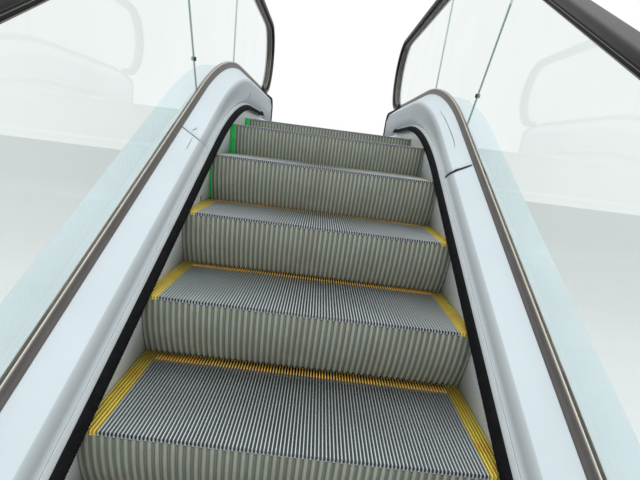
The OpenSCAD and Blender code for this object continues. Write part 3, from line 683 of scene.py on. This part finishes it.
def deck_ring(at, side):
    """Points and painted shade of a section of the inner deck, from its foot to the glass and back.
    """
    low, lean = foot_height(at), at[2] / INCLINE
    knee_z = max(KNEE_Z, low + KNEE_LOW * (CORNER_Z - low))
    straight = FACE_FOOT_X + (CORNER_X - FACE_FOOT_X) * (knee_z - low) / (CORNER_Z - low)
    knee_x = min(straight, KNEE_X + KNEE_SLOPE * (knee_z - KNEE_Z))
    foot, knee, corner, top, inner, edge = (off_line(at, side, x, h) for x, h in (
        (FACE_FOOT_X, low), (knee_x, knee_z), (CORNER_X, CORNER_Z),
        (CORNER_X + ROUND * math.cos(SLOPE_A), CORNER_Z + ROUND * math.sin(SLOPE_A)),
        (DECK_IN - 0.004, DECK_TOP - 0.0031), (DECK_IN, DECK_TOP - 0.0005)))
    knee_bend = bent(towards(knee, foot, KNEE_BEND, 0.6), knee,
                     towards(knee, corner, KNEE_BEND, 0.3), 6)
    shoulder = bent(towards(corner, knee, ROUND, 0.6), corner, top, 11)
    outer = [(foot, FOOT_SHADE)]
    outer += [(v, KNEE_SHADE[0] + (KNEE_SHADE[1] - KNEE_SHADE[0]) * t) for v, t in knee_bend]
    # on the incline, where the face is narrow, its painted shade reaches further over the shoulder
    outer += [(v, (1 - t) ** (1 - 0.65 * lean)) for v, t in shoulder]
    outer += [(inner, 0.0), (edge, 0.0)]
    tone = LEVEL_TONE + (1 - LEVEL_TONE) * lean
    under = Vector((side * DECK_T * 0.8, 0, -DECK_T * 0.6))
    ring = [v for v, _ in outer] + [v + under for v, _ in reversed(outer)]
    # the underside of the sheet is painted in full shade
    return ring, [d * tone for _, d in outer] + [1.0] * len(outer)


def deck_joints():
    """Distances of the ends and seams of the deck sheets."""
    slopes = [i for i, p in enumerate(deck_line) if p[2] > INCLINE - 1e-6]
    run_from, run_to = deck_marks[slopes[0]], deck_marks[slopes[-1]]
    bay = (run_to - DECK_LEAD - run_from) / DECK_BAYS
    return [0] + [run_from + k * bay for k in range(DECK_BAYS + 1)] + [deck_marks[-1]]


def build_inner_deck(side, name):
    """Bent sheets, parted by thin seams, with dark seals in the seams of their tops."""
    s = Shape()
    joints = [index_at(deck_marks, v) for v in deck_joints()]
    for a, b in zip(joints, joints[1:]):
        a += SPLIT / (deck_marks[int(a) + 1] - deck_marks[int(a)])
        b -= SPLIT / (deck_marks[math.ceil(b)] - deck_marks[math.ceil(b) - 1])
        where = [a] + [i for i in range(len(deck_line)) if a + 1e-3 < i < b - 1e-3] + [b]
        rings = [deck_ring(point_at(deck_line, i), side) for i in where]
        s.rings([r[0] for r in rings], dirt=[r[1] for r in rings])
    for i in joints[1:-1]:
        at = point_at(deck_line, i)
        s.rings([[tuple(off_line(along(at, d), side, x, h + dh)) for d, dh in SEAL_RING]
                 for x, h in SEAL], index=1)
    sheets = s.done("deck_inner_" + name, "deck", "dark", smooth=40)
    place(sheets, "deck", "inner_deck_" + name)


def build_skirt(side, name):
    """The sheet beside the steps, darker towards the bottom below the treads and plain over them.
    """
    ya, yb = -SKIRT_END, COMB_UP + SKIRT_END
    lines = (run_line(-SKIRT_LOW / math.cos(INCLINE), -SKIRT_LOW, -SKIRT_LOW,
                      CURVE + SKIRT_LOW, CURVE - SKIRT_LOW, ya, yb, **FINE),
             run_line(0.0, SKIRT_PLAIN, SKIRT_PLAIN, CURVE, CURVE, ya, yb, **FINE),
             foot_line(ya, yb, -0.0005))
    s = Shape()
    s.rings([[(side * SKIRT_X, *p[:2]) for p in at] + [(side * TROUGH_X, *p[:2]) for p in at[::-1]]
             for at in zip(*lines)], dirt=[1.0, 0.1, 0.0, 0.0, 0.1, 1.0])
    place(s.done("skirt_sheet_" + name, "skirt"), "skirt", "skirt_" + name)


# Brushes: a light holder and rows of black bristles, as (distance from the skirt, height)

brush_line = run_line(BRUSH_RISE, BRUSH_LAND, BRUSH_LAND, CURVE, CURVE, BRUSH_END,
                      COMB_UP - BRUSH_END)
HOLDER = [(0.0003, 0.0), (0.0003, 0.026), (0.0030, 0.0252), (0.0108, 0.0198), (0.0117, 0.0170),
          (0.0112, 0.0040), (0.0090, 0.0005)]
WEDGE = [(0.0105, 0.0020), (0.0118, 0.0178), (0.0150, 0.0150), (0.0310, -0.0046),
         (0.0310, -0.0082)]
ROOT_X, ROOT_Z, TIP_X, TIP_Z = 0.0135, 0.0160, 0.0322, -0.0056
BRISTLE, ROWS = 0.0030, 2


def bristle(s, side, at, root, tip, lean):
    """A thin three-sided hair from root to tip, leaning along the line."""
    y, z, t = at
    base = len(s.verts)
    for (x, h), wide, dy in ((root, 0.0011, 0), (tip, 0.0006, lean)):
        for dx, dh, dd in ((0, 0, -wide), (0, 0, wide), (0.0006, 0.0012, 0)):
            s.verts.append((side * (x + dx), y - (h + dh) * math.sin(t) + (dy + dd) * math.cos(t),
                            z + (h + dh) * math.cos(t) + (dy + dd) * math.sin(t)))
            s.dirt.append(0.0)
    for a, b in ((0, 1), (1, 2), (2, 0)):
        s.faces.append((base + a, base + b, base + 3 + b, base + 3 + a))
    s.faces.append((base + 3, base + 4, base + 5))
    s.index += [0] * 4


def brush_taper(s, side, up, parts=10):
    """The moulded end of a brush, thinning out along the skirt."""
    y0, z0, d = (COMB_UP - BRUSH_END, UP, 1) if up else (BRUSH_END, LO, -1)
    rings = []
    for f in (k / parts for k in range(parts + 1)):
        y, top = y0 + d * (0.0004 + (TAPER - 0.001) * f), BRUSH_H - 0.012 * f**1.4
        depth, low = 0.032 * (1 - f**1.3) + 0.0015, -0.008 + 0.017 * f
        rings.append([(side * (SKIRT_X - x), y, z0 + BRUSH_LAND + h) for x, h in (
            (0.0003, low * 0.5), (0.0003, top), (0.45 * depth, top - 0.002),
            (0.75 * depth, top - 0.009), (depth, low + 0.003), (depth, low),
            (0.4 * depth, low * 0.4))])
    s.rings(rings)


def build_brushes():
    s = Shape()
    marks = stations(brush_line)
    count = int(marks[-1] / BRISTLE)
    for side in (-1, 1):
        for profile, index in ((HOLDER, 1), (WEDGE, 0)):
            s.sweep([(SKIRT_X - x, h) for x, h in profile], brush_line, side, index=index)
        for row in range(ROWS):
            for k in range(count):
                go = (k + 0.5 * row + rng.uniform(-0.2, 0.2)) * marks[-1] / count
                go = min(max(go, 0.0), marks[-1] - 1e-6)
                root = (SKIRT_X - ROOT_X, ROOT_Z - 0.005 * row)
                tip = (SKIRT_X - TIP_X + rng.uniform(-0.0004, 0.0010),
                       TIP_Z - 0.002 * row + rng.uniform(-0.0015, 0.001))
                bristle(s, side, point_at(brush_line, index_at(marks, go)), root, tip,
                        rng.uniform(-0.003, 0.003))
        for up in (False, True):
            brush_taper(s, side, up)
    place(s.done("brush_strips", "brush", "holder"), "brush", "skirt_brushes")


# Marks of wear: points (y, z, x) of the tops of the decks, (y, z) of their steep faces

SCRATCH = [(6.191, 3.309, 0.5605), (6.157, 3.288, 0.560), (6.115, 3.265, 0.559)]
CURL = [(6.218, 3.334, 0.571), (6.236, 3.343, 0.570), (6.250, 3.346, 0.563), (6.257, 3.353, 0.5665)]
TICK = [(7.200, 3.622), (7.165, 3.596), (7.115, 3.569)]
LONG_SCRATCH = [(6.727, 3.599, 0.563), (6.616, 3.554, 0.567), (6.498, 3.495, 0.5695),
                (6.412, 3.446, 0.571), (6.359, 3.412, 0.5675)]
LOOSE_SEAL = [(6.2213, 3.2791), (6.2235, 3.2880), (6.2215, 3.2990, 0.530), (6.2190, 3.3065, 0.538),
              (6.2171, 3.3136, 0.549), (6.204, 3.321, 0.565), (6.196, 3.329, 0.585),
              (6.190, 3.334, 0.600)]
NICK_Y, NICK_Z = 6.172, (3.058, 3.070, 3.078)
NICK_RING = ((0, -0.009), (0, 0.009), (0.0014, 0))  # (off the skirt, along it)


def nearest(spots, y, z):
    return min(spots, key=lambda p: (p.y - y) ** 2 + (p.z - z) ** 2)


def on_deck(side, y, z, x):
    """The point of the top of the deck at x that lies nearest to (y, z)."""
    height = CORNER_Z + (x - CORNER_X) * math.tan(SLOPE_A)
    lines = (point_at(deck_line, i / 20) for i in range((len(deck_line) - 1) * 20))
    return nearest((off_line(at, side, x, height) for at in lines), y, z)


def on_face(side, y, z):
    """The point of the steep face that lies nearest to (y, z)."""
    spots = []
    for i in range((len(deck_line) - 1) * 8):
        at = point_at(deck_line, i / 8)
        if abs(at[0] - y) < 0.4:
            face = deck_ring(at, side)[0][:FACE_POINTS]
            spots += [a + (b - a) * (k / 4) for a, b in zip(face, face[1:]) for k in range(4)]
    return nearest(spots, y, z)


def ribbon(s, side, points, width, index=0, lift=0.0016):
    """A thin raised line through points (y, z) of the face or (y, z, x) of the top."""
    path = [on_deck(side, *p) if len(p) == 3 else on_face(side, *p) for p in points]
    rings, last = [], len(path) - 1
    for k, p in enumerate(path):
        step = (path[min(k + 1, last)] - path[max(k - 1, 0)]).normalized()
        up = Vector((-side * (math.sin(SLOPE_A) if len(points[k]) == 3 else 0.9), -0.3, 0.7))
        up.normalize()
        across = step.cross(up).normalized() * width / 2 * (0.35 if k in (0, last) else 1.0)
        rings.append([tuple(p + v) for v in
                      (across, across + up * lift, -across + up * lift, -across)])
    s.rings(rings, index=index)


def build_marks():
    """Scratches of the decks, a loose seal on the right and a nick in the left skirt."""
    s = Shape()
    ribbon(s, -1, SCRATCH, 0.0022)
    ribbon(s, -1, CURL, 0.0022)
    ribbon(s, -1, TICK, 0.0035)
    ribbon(s, 1, LONG_SCRATCH, 0.0026)
    ribbon(s, 1, LOOSE_SEAL, 0.0085, index=1, lift=0.004)
    place(s.done("deck_scratches", "scratch", "dark"), "deck")
    nick = Shape()
    nick.rings([[(-SKIRT_X + dx, NICK_Y + dy, z) for dx, dy in NICK_RING] for z in NICK_Z])
    place(nick.done("skirt_nick", "scratch"), "skirt")


# Ends of the decks: black plates with a lip around them, as (x, height over the deck line),
# and a collar around each handrail

END_T, COLLAR, LIP = 0.024, 0.006, 0.016
END_R = 0.024  # radius of the outer corner
HOLE, RIM = (0.050, 0.036, 0.02), (0.062, 0.048, 0.03)  # (half width, half height, radius)
END_LOW, END_TOP = PLATE_LOW - DECK_LAND, DECK_TOP + LIP
END = [(SKIRT_X - 0.004, PLATE_TOP - DECK_LAND), (SKIRT_X - 0.001, -WING),
       (CORNER_X - LIP - 0.004, CORNER_Z - 0.0065), (CORNER_X - LIP + 0.004, CORNER_Z + LIP),
       (DECK_IN, END_TOP), *arc(OUTER_X - END_R, END_TOP - END_R, END_R, 90, 0, 6),
       (OUTER_X, END_LOW), (TROUGH_X, END_LOW), (TROUGH_X, PLATE_TOP - DECK_LAND)]


def round_box(cx, cz, w, h, r, n=4):
    out = []
    for sx, sz, a0 in ((1, 1, 0), (-1, 1, 90), (-1, -1, 180), (1, -1, 270)):
        out += arc(cx + sx * (w - r), cz + sz * (h - r), r, a0, a0 + 90, n)
    return out


def holed_plate(bm, outer, hole, y0, y1):
    """A plate in (x, z) with one hole, from y0 to y1."""
    edges = []
    for loop in (outer, hole):
        vs = [bm.verts.new((x, y0, z)) for x, z in loop]
        edges += [bm.edges.new((a, b)) for a, b in zip(vs, vs[1:] + vs[:1])]
    filled = bmesh.ops.triangle_fill(bm, use_beauty=True, edges=edges)
    faces = [g for g in filled["geom"] if isinstance(g, bmesh.types.BMFace)]
    grown = bmesh.ops.extrude_face_region(bm, geom=faces)
    moved = [g for g in grown["geom"] if isinstance(g, bmesh.types.BMVert)]
    bmesh.ops.translate(bm, vec=(0, y1 - y0, 0), verts=moved)


def build_deck_plates():
    bm = bmesh.new()
    middle = (RAIL_LAND - RAIL_T / 2 - 2 * NEWEL_R - (NEWEL_UP - INLET - COMB_UP - FLOOR_Y)
              - END_T / 2)
    for side in (-1, 1):
        for y0, z0, d in ((COMB_UP + FLOOR_Y, UP, 1), (-FLOOR_Y, LO, -1)):
            outer = [(side * x, z0 + DECK_LAND + h) for x, h in END]
            hole, rim = (round_box(side * RAIL_X, z0 + middle, *size) for size in (HOLE, RIM))
            holed_plate(bm, outer, hole, y0, y0 + d * END_T)
            holed_plate(bm, rim, hole, y0 + d * END_T, y0 + d * (END_T + COLLAR))
    # the fill gives its points and faces in another order in each run
    for items, where in ((bm.verts, lambda v: tuple(v.co)),
                         (bm.faces, lambda f: tuple(f.calc_center_median()))):
        rank = {item: k for k, item in enumerate(sorted(items, key=where))}
        items.sort(key=rank.get)
    bmesh.ops.recalc_face_normals(bm, faces=bm.faces)
    me = bpy.data.meshes.new("deck_end_plates")
    bm.to_mesh(me)
    bm.free()
    me.materials.append(M["dark"])
    place(add("deck_end_plates", me), "deck_end")


# Gaskets: (distance from the middle of the glass, height over the edge of the deck)

GASKET = [(0.005, -0.012), (0.015, -0.012), (0.015, 0.001), (0.0148, 0.0035), (0.012, 0.0075),
          (0.0095, 0.012), (0.0082, 0.020), (0.0076, 0.028), (0.005, 0.028)]
BEAD = [(0.005, 0.028), (0.0076, 0.028), (0.0082, 0.0305), (0.0078, 0.033), (0.0062, 0.034),
        (0.005, 0.034)]


def build_gaskets():
    s = Shape()
    for side in (-1, 1):
        for turn in (-1, 1):
            for pts, index in ((GASKET, 0), (BEAD, 1)):
                profile = [(RAIL_X + turn * x, DECK_TOP + h) for x, h in pts][::turn]
                s.sweep(profile, deck_line, side, index=index)
    place(s.done("glass_channel", "gasket", "bead"), "gasket", "glass_gaskets")


# Handrails and their guides: (distance from the middle line, height)

# right half of the C section of a handrail
BELT = [(0.0, 0.01399), (0.010, 0.0139), (0.020, 0.0134),
        *arc(0.0275, 0.0008, 0.0125, 75, -20, 7), *arc(0.0315, -0.0060, 0.0080, -35, -80, 3),
        (0.0270, -0.0140), (0.0215, -0.0140), (0.0200, -0.0128), (0.0200, -0.0098),
        (0.0210, -0.0090), (0.0310, -0.0090), (0.0310, 0.0050)]
FLANGE = [(-0.028, 0.0045), (0.028, 0.0045), (0.028, -0.007), (0.016, -0.007), (0.016, -0.012),
          (-0.016, -0.012), (-0.016, -0.007), (-0.028, -0.007)]
CORE = [(-0.0155, -0.012), (0.0155, -0.012), (0.0155, -0.0395), (-0.0155, -0.0395)]
EDGE_RIDGES, SIDE_RIDGES = (-0.0152, -0.0069, 0.0053, 0.0136), (-0.0170, -0.0270, -0.0370)
# the way back of a handrail inside the casing, under the steps
BACK_RISE, BACK_LAND = -0.14, -0.1
BACK_IN = RAIL_LAND - RAIL_T / 2 - 2 * NEWEL_R - BACK_LAND  # it starts so far past the inlets

rail_line = rail_loop()
below = run_line(BACK_RISE, BACK_LAND, BACK_LAND, CURVE, CURVE, NEWEL_LO + INLET + BACK_IN,
                 NEWEL_UP - INLET - BACK_IN)
back_line = [(y, z, t + math.pi) for y, z, t in reversed(below)]


def build_handrail(side, name):
    whole = [(RAIL_X + x, h) for x, h in BELT] + [(RAIL_X - x, h) for x, h in reversed(BELT[1:])]
    s = Shape()
    s.sweep(whole[::-1], rail_line + back_line, side, closed=True)
    place(s.done("rail_belt_" + name, "rubber", smooth=50), "handrail", "handrail_" + name)


def build_guides():
    """Dark flange and core, with thin light ridges on the inner edge and both sides of it."""
    profiles = [(FLANGE, 1), (CORE, 1)]
    profiles += [([(x, -0.0394), (x + 0.0016, -0.0394), (x + 0.0013, -0.0406),
                   (x + 0.0003, -0.0406)], 0) for x in EDGE_RIDGES]
    profiles += [([(turn * 0.0154, h), (turn * 0.0154, h - 0.0018), (turn * 0.0164, h - 0.0014),
                   (turn * 0.0164, h - 0.0004)][::-turn], 0)
                 for turn in (-1, 1) for h in SIDE_RIDGES]
    s = Shape()
    for side in (-1, 1):
        for profile, index in profiles:
            s.sweep([(RAIL_X + x, h) for x, h in profile][::-1], rail_line, side, index=index)
    place(s.done("rail_guide", "guide", "dark"), "guide", "handrail_guides")


# Seams of the glass: (distance along the band, is it dark)

SEAM_LOW, SEAM_HIGH = DECK_TOP + 0.034, 0.600
ARC = CURVE * INCLINE
SEAM_BAYS, SEAM_FROM = 3, 0.06  # bays of glass on the incline, which start and end so far in
BAY = (RUN - 2 * SEAM_FROM) / SEAM_BAYS
SEAMS = ([(LEVEL + 0.2, False)]
         + [(LEVEL + ARC + SEAM_FROM + k * BAY, k == SEAM_BAYS) for k in range(SEAM_BAYS + 1)]
         + [(LEVEL + 2 * ARC + RUN - 0.2, False)])
BUTTON = ((-0.0095, 0.006), (-0.0085, 0.009), (0.0085, 0.009), (0.0095, 0.006))  # (x, radius)
BUTTON_H = 0.234


def seam_place(s):
    """Where a seam crosses the line of the decks: (y, z, slope)."""
    shift = (DECK_LAND - DECK_RISE) / math.tan(INCLINE)
    run_from, run_to = LEVEL + ARC, LEVEL + ARC + RUN
    if s > run_to:
        t = (run_to + ARC - s) / CURVE
        y, z = COMB_UP - LEVEL_UP - CURVE * math.sin(t), UP - CURVE * (1 - math.cos(t))
    else:
        t = min((s - LEVEL) / CURVE, INCLINE)
        along = max(s - run_from, 0.0)
        y = LEVEL + CURVE * math.sin(t) + along * math.cos(t)
        z = LO + CURVE * (1 - math.cos(t)) + along * math.sin(t)
    return y + shift, z + DECK_LAND, t


def build_seams():
    """Thin seals in the seams, one of them dark and with a button on it."""
    s = Shape()
    for side in (-1, 1):
        for where, dark in SEAMS:
            at = seam_place(where)
            w, d = 0.0022 if dark else 0.0034, 0.0013
            s.rings([[tuple(off_line(along(at, dy), side, RAIL_X + dx, h))
                      for dx, dy in ((-w, -d), (w, -d), (w, d), (-w, d))]
                     for h in (SEAM_LOW, SEAM_HIGH)], index=0 if dark else 1)
            if dark:
                c = off_line(at, side, 0, BUTTON_H)
                s.rings([[(side * (RAIL_X + x), y, z) for y, z in circle(16, r, c.y, c.z)]
                         for x, r in BUTTON])
    place(s.done("glass_seals", "dark", "seam_light"), "gasket")


build_steps()
build_combs()
for side, name in ((-1, "left"), (1, "right")):
    build_inner_deck(side, name)
    build_skirt(side, name)
    build_handrail(side, name)
build_brushes()
build_marks()
build_deck_plates()
build_gaskets()
build_guides()
build_seams()


# Stage: floor, light and camera

FLOOR_HALF, FLOOR_Z = 60, -0.002
WORLD = 0.9  # strength of the light from all around
FOCAL, FRAME_W, SENSOR = 439.4, 640, 36  # focal length and frame in pixels, sensor in mm
VIEW_ANGLES, VIEW_FROM = (1.22, -11.76, 7.3), (-0.025, 4.3369, 3.3352)  # yaw, pitch, roll


def stage():
    """Pale plain floor."""
    me = bpy.data.meshes.new("stage_floor")
    corners = [(sx * FLOOR_HALF, sy * FLOOR_HALF, FLOOR_Z)
               for sx, sy in ((-1, -1), (1, -1), (1, 1), (-1, 1))]
    me.from_pydata(corners, [], [(0, 1, 2, 3)])
    m = bpy.data.materials.new("stage_floor")
    m.use_nodes = True
    b = m.node_tree.nodes["Principled BSDF"]
    b.inputs["Base Color"].default_value = (0.86, 0.86, 0.85, 1)
    b.inputs["Roughness"].default_value = 0.9
    me.materials.append(m)
    add("stage_floor", me)


def world():
    """Soft light all around, seen as white by the camera, in mirrors and through glass."""
    w = bpy.data.worlds.new("studio")
    bpy.context.scene.world = w
    w.use_nodes = True
    nodes, link = w.node_tree.nodes, w.node_tree.links.new
    soft = nodes["Background"]
    seen = nodes.new("ShaderNodeBackground")
    for light, color, strength in ((soft, (0.95, 0.97, 1.0, 1), WORLD), (seen, (1, 1, 1, 1), 1.0)):
        light.inputs["Color"].default_value = color
        light.inputs["Strength"].default_value = strength
    path = nodes.new("ShaderNodeLightPath")
    total = path.outputs["Is Camera Ray"]
    for key in ("Is Glossy Ray", "Is Transmission Ray"):
        plus = nodes.new("ShaderNodeMath")
        plus.operation = "ADD"
        plus.use_clamp = True
        link(total, plus.inputs[0])
        link(path.outputs[key], plus.inputs[1])
        total = plus.outputs[0]
    mix = nodes.new("ShaderNodeMixShader")
    link(total, mix.inputs[0])
    link(soft.outputs[0], mix.inputs[1])
    link(seen.outputs[0], mix.inputs[2])
    link(mix.outputs[0], nodes["World Output"].inputs[0])


def area(name, loc, target, size, power, color):
    data = bpy.data.lights.new(name, "AREA")
    data.shape = "RECTANGLE"
    data.size, data.size_y = size
    data.energy = power
    data.color = color
    ob = add(name, data)
    ob.location = loc
    ob.rotation_euler = (Vector(target) - Vector(loc)).to_track_quat("-Z", "Y").to_euler()


def camera():
    """The photograph's viewing angle."""
    yaw, pitch, roll = (math.radians(a) for a in VIEW_ANGLES)
    f = Vector((math.sin(yaw) * math.cos(pitch), math.cos(yaw) * math.cos(pitch), math.sin(pitch)))
    r = Vector((math.cos(yaw), -math.sin(yaw), 0))
    u = r.cross(f)
    right = math.cos(roll) * r + math.sin(roll) * u
    up = -math.sin(roll) * r + math.cos(roll) * u
    data = bpy.data.cameras.new("camera")
    data.lens = FOCAL / FRAME_W * SENSOR
    data.sensor_width = SENSOR
    data.clip_start = 0.01
    ob = add("camera", data)
    m = Matrix((right, up, -f)).transposed().to_4x4()
    m.translation = Vector(VIEW_FROM)
    ob.matrix_world = m
    bpy.context.scene.camera = ob


stage()
world()
area("key", (0.0, 4.5, 11.0), (0, 6.0, 2.5), (10, 12), 530, (1.0, 0.99, 0.98))
area("front", (0.5, -3.5, 7.5), (0, 5.5, 2.8), (8, 6), 570, (0.97, 0.99, 1.0))
camera()

scene = bpy.context.scene
scene.view_settings.view_transform = "Standard"

bpy.context.view_layer.update()
